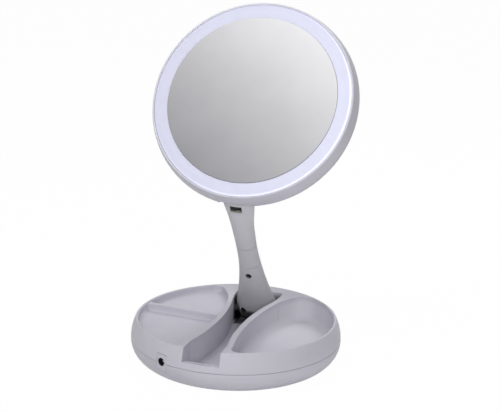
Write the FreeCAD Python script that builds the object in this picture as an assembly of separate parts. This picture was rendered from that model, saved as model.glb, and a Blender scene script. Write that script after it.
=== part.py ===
import FreeCAD, Part
import math
import os

# Folding lighted vanity mirror on a round tray base.
# Millimetres and degrees. The origin is the middle of the base where it stands, +Z is up,
# the mirror faces -Y and +X is to the right of someone looking into it.

V = FreeCAD.Vector
RIGHT = V(1, 0, 0)
UP = V(0, 0, 1)
ORIGIN = V(0, 0, 0)

# Shares used by several pieces
bulge_share = 0.25          # how far a curved wall has come in at its middle height
dish_share = 0.42           # height of that middle on the lower shell

# General clearances
overrun = 30.0              # how far a cutting tool runs past what it cuts
fit_gap = 0.2               # between fixed pieces that seat in each other
run_gap = 0.3               # between faces that move past each other
pin_gap = 0.05              # radial, pin in a hinge bore
seam_gap = 0.3              # the fine line between two shells

# Base shells
base_radius = 87.5          # widest, at the seam
dish_inset = 10.5           # flat underside inside the widest
base_height = 35.0          # flat top of the rim
seam_height = 18.5
foot_lift = 1.0             # underside above the table
base_wall = 2.2
rim_inset = 4.1             # outer edge of the flat rim inside the widest
deck_thickness = 2.4
lip_height = 2.4            # tongue of the lower shell behind the upper one
lip_thickness = 1.2

# Trays and trough in the upper shell
rim_width = 6.1             # widest to the trays
tray_wall = 1.8
land_width = 4.9            # between the trough and a tray
hinge_land_width = 9.8      # the same, beside the hinge at the back
deep_tray_floor = 14.0
shallow_tray_floor = 28.0
deep_tray_corner = 14.0
shallow_tray_corner = 8.0
deep_tip_share = 0.08       # its pointed front corner to the base's radius
shallow_tray_tip = 3.5
deep_tray_fillet = 6.0      # wall to floor
shallow_tray_fillet = 2.6
divider_thickness = 4.0
divider_place = 0.6         # middle of the divider at the land, along Y
divider_turn = 5.5
divider_drop = 0.8          # below the rim
rim_round = 0.8             # rounding of the rim and of the trays' edges
trough_floor = 12.5
nest_gap = 1.3              # folded arm to the trough's side
mouth_half = 15.5
mouth_length = 15.0         # straight stretch behind the front wall
mouth_run = 10.0            # least stretch over which the trough narrows to its mouth
sill_height = 24.0
trough_back_gap = 1.0       # behind the arm's barrel
well_edge = 2.0             # floor left round the well under the barrel
well_front = 6.0            # how far the well reaches out before the barrel

# Hinge at the foot of the arm
base_hinge_inset = 30.0     # hinge inside the widest, at the back
base_hinge_z = 23.5
barrel_radius = 10.5
barrel_half = 13.2
hinge_room = 2.0            # trough's side beyond the widest of the foot
barrel_edge = 1.6
base_pin_radius = 2.5
base_washer_radius = 5.0
base_washer_thickness = 1.4
hinge_boss_radius = 6.0
hinge_boss_length = 4.6     # behind the trough's side

# Arm
arm_lean = 30.0             # forward from upright
arm_foot_half = 17.3        # half width above the barrel
arm_waist_half = 8.8
arm_top_half = 14.2         # half width of the knuckle
arm_bow = 4.4               # middle of the stem behind the straight line
# Along the arm, part of the way from waist to foot, from waist to top, depth to width, and bow
arm_section_shares = (
    (0.000, 1.000, 0.000, 0.600, 0.00),
    (0.093, 0.950, 0.000, 0.610, 0.18),
    (0.154, 0.720, 0.000, 0.660, 0.32),
    (0.255, 0.400, 0.000, 0.740, 0.52),
    (0.363, 0.165, 0.000, 0.785, 0.75),
    (0.430, 0.070, 0.000, 0.810, 0.84),
    (0.510, 0.010, 0.000, 0.830, 0.89),
    (0.587, 0.000, 0.010, 0.810, 0.93),
    (0.695, 0.000, 0.110, 0.720, 1.02),
    (0.803, 0.000, 0.315, 0.580, 1.18),
    (0.865, 0.000, 0.560, 0.455, 1.34),
)
collar_shares = (0.419, 0.585)      # ends of the swivel collar along the arm
# Neck that hooks back to the knuckle: along the arm, from waist to top, middle and half
# depth as parts of the knuckle's set-back
neck_section_shares = (
    (0.911, 0.740, 0.390, 0.335),
    (0.957, 0.900, 0.430, 0.300),
    (0.988, 0.970, 0.540, 0.300),
    (1.004, 1.000, 0.620, 0.265),
)
rear_cover_plane = 7.6              # split between arm shell and its rear cover
rear_cover_start = 6.0
neck_cover_end_share = 0.850
swivel_tube_radius = 4.4
swivel_bow_share = 0.89             # tube's place on the bow
swivel_tube_wall = 1.0
swivel_tube_reach = 5.5             # past each end of the collar
arm_line = 0.4                      # line between collar and arm

# Screws, one pattern for all
screw_radius = 1.3
screw_head_radius = 2.4
screw_head_height = 1.6
screw_slot = 0.6
slot_share = 0.7                    # slot length to head width
arm_screw_share = 0.350             # along the arm
arm_screw_depth = 2.8               # head below the arm's front
arm_screw_length = 8.0
foot_screw_x = 9.6
foot_screw_heights = (4.6, -5.0)    # either side of the hinge pin
foot_screw_seat = 5.2               # seat in front of the hinge pin's middle

# Switch in the neck
switch_share = 0.917                # along the arm
switch_middle = -1.6                # across the neck
window_width = 10.2
window_height = 6.0
switch_body_width = 12.4
switch_body_height = 7.4
switch_body_depth = 4.2
switch_sink = 3.2                   # switch face behind the neck's front
knob_width = 4.4
knob_height = 4.6
knob_proud = 1.6
knob_groove_shares = (0.12, 0.42, 0.72)
knob_groove = 0.7

# Head
head_radius = 87.5                  # widest, at the seam of its shells
front_inset = 2.3                   # front edge inside the widest
back_inset = 3.5                    # back edge inside the widest
head_depth = 21.0
head_seam = 13.0
head_wall = 2.0
head_tilt = 31.0                    # leans back from upright
lid_gap = 0.5                       # folded head above the rim
ring_width = 11.3                   # light ring, mirror to bezel
mirror_thickness = 3.0
mirror_inset = 0.3
bezel_width = 1.9                   # light ring to the front edge
diffuser_thickness = 1.9
diffuser_crown = 0.5
bezel_lip = 1.3
carrier_plate = 2.0
board_depth = 6.0
board_thickness = 1.6
board_edge = 1.0
led_count = 24
led_size = 3.5
led_width = 2.8
led_height = 0.8
rear_frame = 27.0                   # magnifier's edge inside the widest
rear_cover = 2.0                    # how far the rear shell covers that edge
rear_mirror_thickness = 3.0
rear_mirror_curve = 520.0           # radius of the magnifying face
rear_lip = 0.8
carrier_ring = 2.0

# Hinge between arm and head
hinge_inset = 15.5                  # hinge inside the head's widest
hinge_depth = 17.5                  # hinge behind the head's front
knuckle_radius = 5.6
head_pin_radius = 1.75
head_washer_radius = 4.2
head_washer_thickness = 0.7
pin_socket_length = 4.4
notch_depth = 11.0                  # floor of the notch behind the head's front
notch_wall = 1.5
notch_room = 0.8                    # round the knuckle
head_screw_angles = (-30.0, 30.0, 90.0, 150.0, 210.0)
head_screw_length = 9.6
boss_wall = 1.7

# Power
jack_angle = -23.8                  # round the base from its front
jack_height = 19.2
jack_plate_width = 10.0
jack_plate_height = 13.0
jack_plate_thickness = 2.4
jack_plate_inset = 0.5
jack_hole_radius = 3.3
jack_body_width = 9.0
jack_body_height = 11.0
jack_body_length = 13.0
jack_bore_depth = 9.0
jack_pin_radius = 1.0
cell_count = 4
cell_radius = 7.1
cell_length = 49.2
cell_nub_radius = 2.7
cell_nub_length = 1.3
cell_gap = 0.6
bay_gap = 0.4                       # bay's frame from the trough's tub
bay_wall = 1.5
bay_height = 15.0
contact_thickness = 0.5
contact_size = 9.0
door_thickness = 2.0
door_corner = 2.5
door_grip_depth = 0.8
door_grip_width = 1.4
door_grip_count = 4
door_grip_length = 14.0
control_board_size = (24.0, 30.0)
control_board_gap = 2.0             # from the bosses of the base screws
control_board_lift = 2.0
post_radius = 2.0
post_share = 0.33                   # post from the board's middle to its width

# Feet and base screws
foot_pad_radius = 6.0
foot_pad_sink = 0.6
foot_pad_inset = 11.0               # inside the flat underside
foot_pad_angles = (45.0, 130.0, 230.0, 315.0)
base_screw_shares = ((0.457, -0.240), (0.457, 0.240), (-0.343, -0.651), (-0.343, 0.651))
base_screw_length = 9.0
screw_pad = 1.2                     # thicker floor round a base screw
base_boss_radius = 3.6

# Worked out from the above
base_floor_radius = base_radius - dish_inset
base_top_radius = base_radius - rim_inset
tray_radius = base_radius - rim_width
deep_tray_tip = deep_tip_share * base_radius
base_hinge_y = base_radius - base_hinge_inset
head_front_radius = head_radius - front_inset
head_back_radius = head_radius - back_inset
diffuser_radius = head_front_radius - bezel_width
mirror_radius = diffuser_radius - ring_width
ring_middle = diffuser_radius - ring_width / 2
rear_mirror_radius = head_radius - rear_frame
rear_opening = rear_mirror_radius - rear_cover
hinge_radius = head_radius - hinge_inset
foot_pad_place = base_floor_radius - foot_pad_inset
base_screw_places = [(across * base_radius, along * base_radius) for across, along in base_screw_shares]
control_board_inside = base_screw_places[0][0] + base_boss_radius + control_board_gap
control_board_middle_x = control_board_inside + control_board_size[0] / 2
arm_length = base_hinge_y + hinge_radius
knuckle_setback = base_height + lid_gap + head_depth - hinge_depth - base_hinge_z
base_floor_top = foot_lift + base_wall
trough_back = base_hinge_y + barrel_radius + trough_back_gap
trough_front = -math.sqrt((base_radius - base_wall) ** 2 - mouth_half ** 2) + base_wall
trough_back_half = arm_foot_half + hinge_room
hinge_face = barrel_half + base_washer_thickness + 2 * run_gap
boss_reach = trough_back_half + tray_wall + hinge_boss_length
notch_half = arm_top_half + head_washer_thickness + 2 * run_gap
notch_end = hinge_radius - knuckle_radius - notch_room
cell_pitch = 2 * cell_radius + cell_gap
bay_length = cell_length + cell_nub_length + 2 * (contact_thickness + fit_gap) + fit_gap
bay_width = cell_count * cell_pitch + cell_gap
cell_axis_z = foot_lift + door_thickness + fit_gap + cell_radius


def arm_half_width(foot_share, top_share):
    wide = arm_waist_half + (arm_foot_half - arm_waist_half) * foot_share
    return wide + (arm_top_half - arm_waist_half) * top_share


def nest_half(y):
    """Half width of the trough beside the folded arm, straight between the arm's sections."""
    for (low, *near), (high, *far) in zip(arm_section_shares, arm_section_shares[1:]):
        part = ((base_hinge_y - y) / arm_length - low) / (high - low)
        if part <= 1:
            wide = arm_half_width(*near[:2]) * (1 - part) + arm_half_width(*far[:2]) * part
            return min(wide, arm_foot_half) + nest_gap


# The battery bay starts beside the trough and reaches outwards
bay_inside = nest_half(bay_width / 2 + bay_wall) + tray_wall + bay_gap + bay_wall
bay_middle_x = -bay_inside - bay_length / 2

ARM = FreeCAD.Placement(V(0, base_hinge_y, base_hinge_z), FreeCAD.Rotation(RIGHT, arm_lean))
HINGE = ARM.multVec(V(0, knuckle_setback, arm_length))
HEAD_TURN = FreeCAD.Rotation(RIGHT, -head_tilt)
HEAD = FreeCAD.Placement(HINGE - HEAD_TURN.multVec(V(0, hinge_depth, -hinge_radius)), HEAD_TURN)


def wire(start, *steps):
    """Closed wire in the XZ plane; a step is a point, or a pair of points for an arc."""
    edges = []
    here = V(start[0], 0, start[1])
    for step in steps + (start,):
        if isinstance(step[0], tuple):
            middle = V(step[0][0], 0, step[0][1])
            end = V(step[1][0], 0, step[1][1])
            edges.append(Part.Arc(here, middle, end).toShape())
        else:
            end = V(step[0], 0, step[1])
            if end.distanceToPoint(here) > 0:
                edges.append(Part.LineSegment(here, end).toShape())
        here = end
    return Part.Wire(edges)


def turned(start, *steps):
    """Solid turned about Z from a profile of radius and height."""
    return Part.Face(wire(start, *steps)).revolve(ORIGIN, UP, 360)


def placed(shape, place):
    """A piece moved from its own frame to its place on the object."""
    shape.Placement = place.multiply(shape.Placement)
    return shape


def facing(shape):
    """A turned head piece, laid so that its height becomes depth behind the mirror's face."""
    shape.rotate(ORIGIN, RIGHT, -90)
    return shape


def box(x, y, z):
    """Box between pairs of limits."""
    return Part.makeBox(x[1] - x[0], y[1] - y[0], z[1] - z[0], V(x[0], y[0], z[0]))


def rod_x(radius, half, y, z):
    """Round bar along X, even about the middle."""
    return Part.makeCylinder(radius, 2 * half, V(-half, y, z), RIGHT)


def rod_z(radius, low, high, x, y):
    return Part.makeCylinder(radius, high - low, V(x, y, low), UP)


def rod_y(radius, low, high, spot):
    return Part.makeCylinder(radius, high - low, V(spot.x, low, spot.z), V(0, 1, 0))


def upright_edges(shape, where):
    """Upright edges of a pocket that pass a test on their place."""
    found = []
    for edge in shape.Edges:
        box_ = edge.BoundBox
        if box_.XLength + box_.YLength < fit_gap < box_.ZLength and where(edge.CenterOfMass):
            found.append(edge)
    return found


def floor_edges(shape, height):
    """Edges of a pocket that lie on its floor."""
    return [e for e in shape.Edges if abs(e.BoundBox.ZMax - height) + e.BoundBox.ZLength < pin_gap]


def trough_side(gap):
    """Points down the right side of the nested arm, from the back of the trough to its mouth."""
    points = [V(trough_back_half + gap, trough_back, 0)]
    points.append(V(trough_back_half + gap, base_hinge_y - base_washer_radius, 0))
    mouth = trough_front + mouth_length
    for along, foot, top, depth, bow in arm_section_shares[1:]:
        y = base_hinge_y - along * arm_length
        if y > mouth + mouth_run:
            points.append(V(arm_half_width(foot, top) + nest_gap + gap, y, 0))
    points.append(V(mouth_half + gap, mouth, 0))
    return points


def trough_outline(gap):
    """Closed outline of the trough, straight at its mouth and square at its back."""
    points = trough_side(gap)
    right = Part.BSplineCurve()
    right.interpolate(points)
    left = Part.BSplineCurve()
    left.interpolate([V(-p.x, p.y, 0) for p in points])
    front_right = V(mouth_half + gap, trough_front - gap, 0)
    front_left = V(-mouth_half - gap, trough_front - gap, 0)
    back_right = V(points[0].x, trough_back + gap, 0)
    back_left = V(-points[0].x, trough_back + gap, 0)
    corners = [points[0], back_right, back_left, V(-points[0].x, trough_back, 0)]
    edges = [right.toShape(), left.toShape()]
    edges.append(Part.LineSegment(points[-1], front_right).toShape())
    edges.append(Part.LineSegment(front_right, front_left).toShape())
    edges.append(Part.LineSegment(front_left, V(-points[-1].x, points[-1].y, 0)).toShape())
    if gap:
        edges.append(Part.LineSegment(corners[0], corners[1]).toShape())
        edges.append(Part.LineSegment(corners[2], corners[3]).toShape())
    edges.append(Part.LineSegment(corners[1], corners[2]).toShape())
    return Part.Wire(Part.__sortEdges__(edges))


def raised(outline, low, high):
    """Upright solid between two heights from an outline drawn at height 0."""
    solid = Part.Face(outline).extrude(V(0, 0, high - low))
    solid.translate(V(0, 0, low))
    return solid


def tray_side(side, grow):
    """Everything to one side of the trough's land, far past the base, as an outline."""
    points = [V(side * p.x, p.y, 0) for p in trough_side(land_width - grow)]
    far = base_radius + overrun
    hinge_side = side * (trough_back_half + hinge_land_width - grow)
    points[0] = V(hinge_side, far, 0)
    points[1] = V(hinge_side, base_hinge_y, 0)
    points.append(V(points[-1].x, -far, 0))
    curve = Part.BSplineCurve()
    curve.interpolate(points[:-1])
    edges = [curve.toShape()]
    edges.append(Part.LineSegment(points[-2], points[-1]).toShape())
    edges.append(Part.LineSegment(points[-1], V(side * far, -far, 0)).toShape())
    edges.append(Part.LineSegment(V(side * far, -far, 0), V(side * far, far, 0)).toShape())
    edges.append(Part.LineSegment(V(side * far, far, 0), points[0]).toShape())
    return Part.Wire(edges)


def tray_block(side, grow, low, high):
    """D-shaped block of a tray, grown by its wall."""
    block = raised(tray_side(side, grow), low, high)
    return block.common(rod_z(tray_radius + grow, low, high, 0, 0))


def deep_tray_pocket():
    top = base_height + overrun
    pocket = tray_block(1, 0, deep_tray_floor, top)
    back = upright_edges(pocket, lambda p: p.y > base_hinge_y)
    pocket = pocket.makeFillet(deep_tray_corner, back)
    tip = upright_edges(pocket, lambda p: p.y < -tray_radius / 2 and p.x < tray_radius / 2)
    pocket = pocket.makeFillet(deep_tray_tip, tip)
    return pocket.makeFillet(deep_tray_fillet, floor_edges(pocket, deep_tray_floor))


def shallow_tray_pockets():
    """Two left pockets, either side of the divider."""
    top = base_height + overrun
    pockets = []
    for way in (-1, 1):
        block = tray_block(-1, 0, shallow_tray_floor, top)
        far = 2 * base_radius
        start = divider_thickness / 2
        half = box((-far, far), (start, far), (0, top + overrun))
        if way < 0:
            half = box((-far, far), (-far, -start), (0, top + overrun))
        half.rotate(ORIGIN, UP, -divider_turn)
        half.translate(V(0, divider_place - trough_back_half * math.tan(math.radians(divider_turn)), 0))
        pocket = block.common(half)
        corners = upright_edges(pocket, lambda p: p.y < tray_radius / 2)
        pocket = pocket.makeFillet(shallow_tray_tip, corners)
        back = upright_edges(pocket, lambda p: p.y > trough_back and p.x > -tray_radius / 2)
        if back:
            pocket = pocket.makeFillet(shallow_tray_corner, back)
        pockets.append(pocket.makeFillet(shallow_tray_fillet, floor_edges(pocket, shallow_tray_floor)))
    return pockets


def jack_place():
    """Placement on the base wall whose Y axis points inwards from the jack."""
    turn = FreeCAD.Rotation(UP, jack_angle)
    reach = base_radius - jack_plate_inset
    return FreeCAD.Placement(turn.multVec(V(0, -reach, jack_height)), turn)


def jack_slot(gap):
    half = jack_plate_width / 2 + gap
    tall = jack_plate_height / 2 + gap
    slot = box((-half, half), (-overrun, jack_plate_thickness + gap), (-tall, tall))
    return placed(slot, jack_place())


def jack_room():
    half = jack_body_width / 2 + fit_gap
    tall = jack_body_height / 2 + fit_gap
    room = box((-half, half), (0, jack_plate_thickness + jack_body_length + fit_gap), (-tall, tall))
    return placed(room, jack_place())


def base_top():
    """Upper shell: curved wall, flat rim and deck, and the tubs of trough and trays."""
    low = seam_height + seam_gap / 2
    inner = base_radius - base_wall
    deck_low = base_height - deck_thickness
    bulge = base_radius - (base_radius - base_top_radius) * bulge_share
    middle = (low + base_height) / 2
    shell = turned((base_radius, low), ((bulge, middle), (base_top_radius, base_height)),
                   (0, base_height), (0, deck_low), (base_top_radius - base_wall, deck_low),
                   ((bulge - base_wall, middle), (inner, low)))
    outside = turned((0, 0), (base_radius, 0), (base_radius, low),
                     ((bulge, middle), (base_top_radius, base_height)), (0, base_height))
    tubs = [raised(trough_outline(tray_wall), trough_floor - tray_wall, base_height)]
    tubs.append(tray_block(1, tray_wall, deep_tray_floor - tray_wall, base_height))
    tubs.append(tray_block(-1, tray_wall, shallow_tray_floor - tray_wall, base_height))
    for x, y in base_screw_places:
        under = deep_tray_floor if x > 0 else shallow_tray_floor
        start = base_floor_top + screw_pad + fit_gap
        tubs.append(rod_z(base_boss_radius, start, under - tray_wall / 2, x, y))
    shell = shell.fuse([tub.common(outside) for tub in tubs]).removeSplitter()
    shell = shell.cut([deep_tray_pocket()] + shallow_tray_pockets())
    shell = shell.makeFillet(rim_round, floor_edges(shell, base_height))
    top = base_height + overrun
    cuts = [raised(trough_outline(0), trough_floor, top)]
    cuts.append(box((-mouth_half, mouth_half), (-base_radius - overrun, trough_front + tray_wall),
                    (sill_height, top)))
    cuts += [shallow_divider_top(), hinge_well()]
    for x, y in base_screw_places:
        cuts.append(rod_z(screw_radius, 0, base_screw_length + foot_lift, x, y))
    cuts += [jack_slot(fit_gap), jack_room()]
    bore = rod_x(base_pin_radius + pin_gap, boss_reach + fit_gap, base_hinge_y, base_hinge_z)
    return shell.cut(cuts).fuse(hinge_bosses()).cut(bore).removeSplitter()


def hinge_bosses():
    """Round bosses that hold the pin at each side of the arm's barrel."""
    bosses = rod_x(hinge_boss_radius, boss_reach, base_hinge_y, base_hinge_z)
    return bosses.cut(rod_x(hinge_boss_radius + fit_gap, hinge_face, base_hinge_y, base_hinge_z))


def hinge_well():
    """Opening in the trough's floor under the barrel, where the arm's wires go down."""
    half = trough_back_half - well_edge
    front = base_hinge_y - barrel_radius - well_front
    return box((-half, half), (front, trough_back - well_edge),
               (trough_floor - 2 * tray_wall, trough_floor + fit_gap))


def shallow_divider_top():
    """What is taken off the divider so that it lies a little below the rim."""
    whole = tray_block(-1, 0, base_height - divider_drop, base_height + overrun)
    strip = box((-2 * base_radius, 0), (-divider_thickness, divider_thickness),
                (0, base_height + 2 * overrun))
    strip.rotate(ORIGIN, UP, -divider_turn)
    strip.translate(V(0, divider_place - trough_back_half * math.tan(math.radians(divider_turn)), 0))
    return whole.common(strip)


def base_bottom():
    """Lower shell: dished wall, floor, battery bay, posts and screw holes."""
    high = seam_height - seam_gap / 2
    low = foot_lift
    inner = base_radius - base_wall
    waist = base_radius - (base_radius - base_floor_radius) * bulge_share
    middle = low + (high - low) * dish_share
    floor_in = base_floor_radius - base_wall
    shell = turned((0, low), (base_floor_radius, low), ((waist, middle), (base_radius, high)),
                   (inner, high), ((waist - base_wall, middle), (floor_in, base_floor_top)),
                   (0, base_floor_top))
    lip_out = inner - fit_gap
    lip_in = lip_out - lip_thickness
    lip_low = high - lip_height
    lip = turned((lip_in, high + lip_height), (lip_out, high + lip_height), (lip_out, high),
                 (inner + base_wall / 2, high), (inner + base_wall / 2, high - pin_gap),
                 (lip_in, lip_low))
    half_x = bay_length / 2 + bay_wall
    half_y = bay_width / 2 + bay_wall
    frame = box((bay_middle_x - half_x, bay_middle_x + half_x), (-half_y, half_y), (low, bay_height))
    posts = []
    reach = control_board_size[1] * post_share
    for y in (-reach, reach):
        posts.append(rod_z(post_radius, low + base_wall / 2, base_floor_top + control_board_lift,
                           control_board_middle_x, y))
    for x, y in base_screw_places:
        posts.append(rod_z(base_boss_radius, low + base_wall / 2, base_floor_top + screw_pad, x, y))
    shell = shell.fuse([lip, frame] + posts)
    wall_limit = turned((0, low), (base_floor_radius, low), ((waist, middle), (base_radius, high)),
                        (base_radius, high + 2 * lip_height), (0, high + 2 * lip_height))
    shell = shell.common(wall_limit)
    cuts = [box((bay_middle_x - bay_length / 2, bay_middle_x + bay_length / 2),
                (-bay_width / 2, bay_width / 2), (-overrun, bay_height + overrun))]
    door_x = bay_length / 2 + bay_wall / 2
    door_y = bay_width / 2 + bay_wall / 2
    seat = box((bay_middle_x - door_x, bay_middle_x + door_x), (-door_y, door_y),
               (-overrun, low + door_thickness))
    cuts.append(seat.makeFillet(door_corner, upright_edges(seat, lambda p: True)))
    for x, y in base_screw_places:
        cuts.append(rod_z(screw_radius + fit_gap, 0, base_floor_top + overrun, x, y))
        cuts.append(rod_z(screw_head_radius + fit_gap, 0, low + screw_head_height + fit_gap, x, y))
    for angle in foot_pad_angles:
        spot = foot_pad_spot(angle)
        cuts.append(rod_z(foot_pad_radius + fit_gap, 0, low + foot_pad_sink, spot.x, spot.y))
    cuts += [jack_slot(fit_gap), jack_room()]
    shell = shell.cut(cuts)
    return shell.cut(trough_clearance()).removeSplitter()


def trough_clearance():
    """Room in the lower shell for the upper shell's tubs where they reach its walls."""
    high = seam_height + 2 * lip_height
    gap = tray_wall + fit_gap
    room = [raised(trough_outline(gap), trough_floor - gap, high)]
    room.append(tray_block(1, gap, deep_tray_floor - gap, high))
    return room


def foot_pad_spot(angle):
    turn = math.radians(angle)
    return V(foot_pad_place * math.cos(turn), foot_pad_place * math.sin(turn), 0)


def base_feet():
    pads = []
    for angle in foot_pad_angles:
        spot = foot_pad_spot(angle)
        pad = rod_z(foot_pad_radius, 0, foot_lift + foot_pad_sink, spot.x, spot.y)
        pads.append(pad.makeFillet(foot_pad_sink, floor_edges(pad, 0)))
    return Part.Compound(pads)


def screw(length):
    """Pan-head screw standing on its head at the origin, its shank along +Z, with a cross slot."""
    head = Part.makeCylinder(screw_head_radius, screw_head_height)
    body = head.fuse(Part.makeCylinder(screw_radius - pin_gap, screw_head_height + length))
    wide = screw_head_radius * slot_share
    thin = screw_slot / 2
    deep = screw_head_height / 2
    slots = [box((-wide, wide), (-thin, thin), (0, deep)), box((-thin, thin), (-wide, wide), (0, deep))]
    return body.cut(slots)


def base_screws():
    screws = []
    for x, y in base_screw_places:
        one = screw(base_screw_length - screw_head_height - 2 * fit_gap)
        one.translate(V(x, y, foot_lift + fit_gap / 2))
        screws.append(one)
    return Part.Compound(screws)


def battery_door():
    """Plate that closes the battery bay from below, with finger ribs."""
    half_x = bay_length / 2 + bay_wall / 2 - fit_gap
    half_y = bay_width / 2 + bay_wall / 2 - fit_gap
    plate = box((-half_x, half_x), (-half_y, half_y), (0, door_thickness - fit_gap / 2))
    plate = plate.makeFillet(door_corner, upright_edges(plate, lambda p: True))
    grooves = []
    for index in range(door_grip_count):
        x = -half_x / 2 - index * 2 * door_grip_width
        grooves.append(box((x, x + door_grip_width), (-door_grip_length / 2, door_grip_length / 2),
                           (0, door_grip_depth)))
    plate = plate.cut(grooves)
    plate.translate(V(bay_middle_x, 0, foot_lift))
    return plate


def cell_spots():
    first = -(cell_count - 1) / 2 * cell_pitch
    return [first + index * cell_pitch for index in range(cell_count)]


def battery_cells():
    cells = []
    for index, y in enumerate(cell_spots()):
        cell = Part.makeCylinder(cell_radius, cell_length, ORIGIN, RIGHT)
        cell = cell.fuse(Part.makeCylinder(cell_nub_radius, cell_nub_length, V(cell_length, 0, 0), RIGHT))
        cell.translate(V(-(cell_length + cell_nub_length) / 2, 0, 0))
        if index % 2:
            cell.rotate(ORIGIN, UP, 180)
        cell.translate(V(bay_middle_x, y, cell_axis_z))
        cells.append(cell)
    return Part.Compound(cells)


def battery_contacts():
    plates = []
    half = contact_size / 2
    for y in cell_spots():
        for way in (-1, 1):
            face = way * (bay_length / 2 - fit_gap / 2)
            limits = sorted((face, face - way * contact_thickness))
            plates.append(box((bay_middle_x + limits[0], bay_middle_x + limits[1]), (y - half, y + half),
                              (cell_axis_z - half, cell_axis_z + half)))
    return Part.Compound(plates)


def control_board():
    length, width = control_board_size
    low = base_floor_top + control_board_lift + fit_gap / 2
    middle = control_board_middle_x
    return box((middle - length / 2, middle + length / 2), (-width / 2, width / 2),
               (low, low + board_thickness))


def jack_plate():
    half = jack_plate_width / 2
    tall = jack_plate_height / 2
    plate = box((-half, half), (0, jack_plate_thickness), (-tall, tall))
    hole = Part.makeCylinder(jack_hole_radius, overrun, V(0, -overrun / 2, 0), V(0, 1, 0))
    plate = plate.cut(hole)
    return placed(plate, jack_place())


def dc_jack():
    half = jack_body_width / 2
    tall = jack_body_height / 2
    start = jack_plate_thickness + fit_gap / 2
    body = box((-half, half), (start, start + jack_body_length), (-tall, tall))
    bore = Part.makeCylinder(jack_hole_radius, jack_bore_depth, V(0, start, 0), V(0, 1, 0))
    pin = Part.makeCylinder(jack_pin_radius, jack_bore_depth, V(0, start, 0), V(0, 1, 0))
    body = body.cut(bore.cut(pin))
    return placed(body, jack_place())


def base_hinge_pin():
    pin = rod_x(base_pin_radius, boss_reach, base_hinge_y, base_hinge_z)
    return pin.makeChamfer(fit_gap, pin.Edges[0:3:2])


def washers(radius, hole, thickness, start):
    """A pair of rings on a hinge at the origin, one at each side."""
    rings = []
    for way in (-1, 1):
        ring = Part.makeCylinder(radius, thickness, V(way * start, 0, 0), V(way, 0, 0))
        rings.append(ring.cut(Part.makeCylinder(hole, thickness, V(way * start, 0, 0), V(way, 0, 0))))
    return Part.Compound(rings)


def base_hinge_washers():
    pair = washers(base_washer_radius, base_pin_radius + pin_gap, base_washer_thickness,
                   barrel_half + run_gap)
    pair.translate(V(0, base_hinge_y, base_hinge_z))
    return pair


def ellipse(half_wide, half_deep, middle, height):
    centre = V(0, middle, height)
    curve = Part.Ellipse(centre + V(half_wide, 0, 0), centre + V(0, half_deep, 0), centre)
    return Part.Wire([curve.toShape()])


def arm_sections():
    """Height, half width, half depth and middle of each section up the stem and neck."""
    sections = []
    for along, foot, top, depth, bow in arm_section_shares:
        wide = arm_half_width(foot, top)
        sections.append((along * arm_length, wide, wide * depth, bow * arm_bow))
    for along, top, middle, deep in neck_section_shares:
        sections.append((along * arm_length, arm_half_width(0, top), deep * knuckle_setback,
                         middle * knuckle_setback))
    return sections


def arm_front(height):
    """Front of the arm at a height, straight between its sections."""
    sections = arm_sections()
    for (low, _, deep, middle), (high, _, next_deep, next_middle) in zip(sections, sections[1:]):
        if low <= height <= high:
            part = (height - low) / (high - low)
            return (middle - deep) * (1 - part) + (next_middle - next_deep) * part


def arm_blank():
    """Whole arm in its own frame: foot barrel, waisted stem, neck and knuckle."""
    sections = [ellipse(wide, deep, middle, height) for height, wide, deep, middle in arm_sections()]
    stem = Part.makeLoft(sections, True, False)
    band = box((-arm_foot_half, arm_foot_half), (-base_radius, base_radius), (-base_radius, 2 * base_radius))
    stem = stem.common(band)
    room = rod_x(hinge_boss_radius + run_gap, base_radius, 0, 0)
    stem = stem.cut(room.cut(rod_x(hinge_boss_radius + 2 * run_gap, barrel_half, 0, 0)))
    barrel = rod_x(barrel_radius, barrel_half, 0, 0)
    barrel = barrel.makeFillet(barrel_edge, [e for e in barrel.Edges if e.BoundBox.XLength < fit_gap])
    knuckle = rod_x(knuckle_radius, arm_top_half, knuckle_setback, arm_length)
    return stem.fuse([barrel, knuckle])


def arm_slab(low, high):
    wide = base_radius
    return box((-wide, wide), (-wide, wide), (low, high))


def collar_ends():
    return [share * arm_length for share in collar_shares]


def tube_hole():
    low, high = collar_ends()
    middle = swivel_bow_share * arm_bow
    return rod_z(swivel_tube_radius + pin_gap, low - swivel_tube_reach, high + swivel_tube_reach, 0, middle)


def rear_part(start, end, gap):
    """Back of the arm that is a separate cover, between two heights."""
    wide = base_radius
    return box((-wide, wide), (rear_cover_plane - gap, wide), (start - gap, end + gap))


def arm_screw_spots():
    """Seat of each screw's head, in the arm's own frame."""
    height = arm_screw_share * arm_length
    spots = [V(0, arm_front(height) + arm_screw_depth + screw_head_height, height)]
    for height in foot_screw_heights:
        for x in (-foot_screw_x, foot_screw_x):
            spots.append(V(x, -foot_screw_seat, height))
    return spots


def arm_screw_holes():
    holes = []
    for spot in arm_screw_spots():
        holes.append(rod_y(screw_head_radius + fit_gap, spot.y - overrun, spot.y, spot))
        holes.append(rod_y(screw_radius, spot.y, spot.y + arm_screw_length + fit_gap, spot))
    return holes


def lower_arm_front():
    low, high = collar_ends()
    shape = arm_blank().common(arm_slab(-overrun, low - arm_line / 2))
    cuts = [rear_part(rear_cover_start, low + overrun, 0), tube_hole()] + arm_screw_holes()
    cuts.append(rod_x(base_pin_radius + pin_gap, base_radius, 0, 0))
    shape = shape.cut(cuts)
    return placed(shape, ARM)


def lower_arm_rear():
    low, high = collar_ends()
    shape = arm_blank().common(rear_part(rear_cover_start, low - arm_line / 2, -fit_gap / 2))
    shape = shape.cut([tube_hole()] + arm_screw_holes())
    return placed(shape, ARM)


def lower_arm_screws():
    screws = []
    for spot in arm_screw_spots():
        one = screw(arm_screw_length - fit_gap)
        one.rotate(ORIGIN, RIGHT, -90)
        one.translate(spot - V(0, screw_head_height, 0))
        screws.append(one)
    group = Part.Compound(screws)
    return placed(group, ARM)


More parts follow.
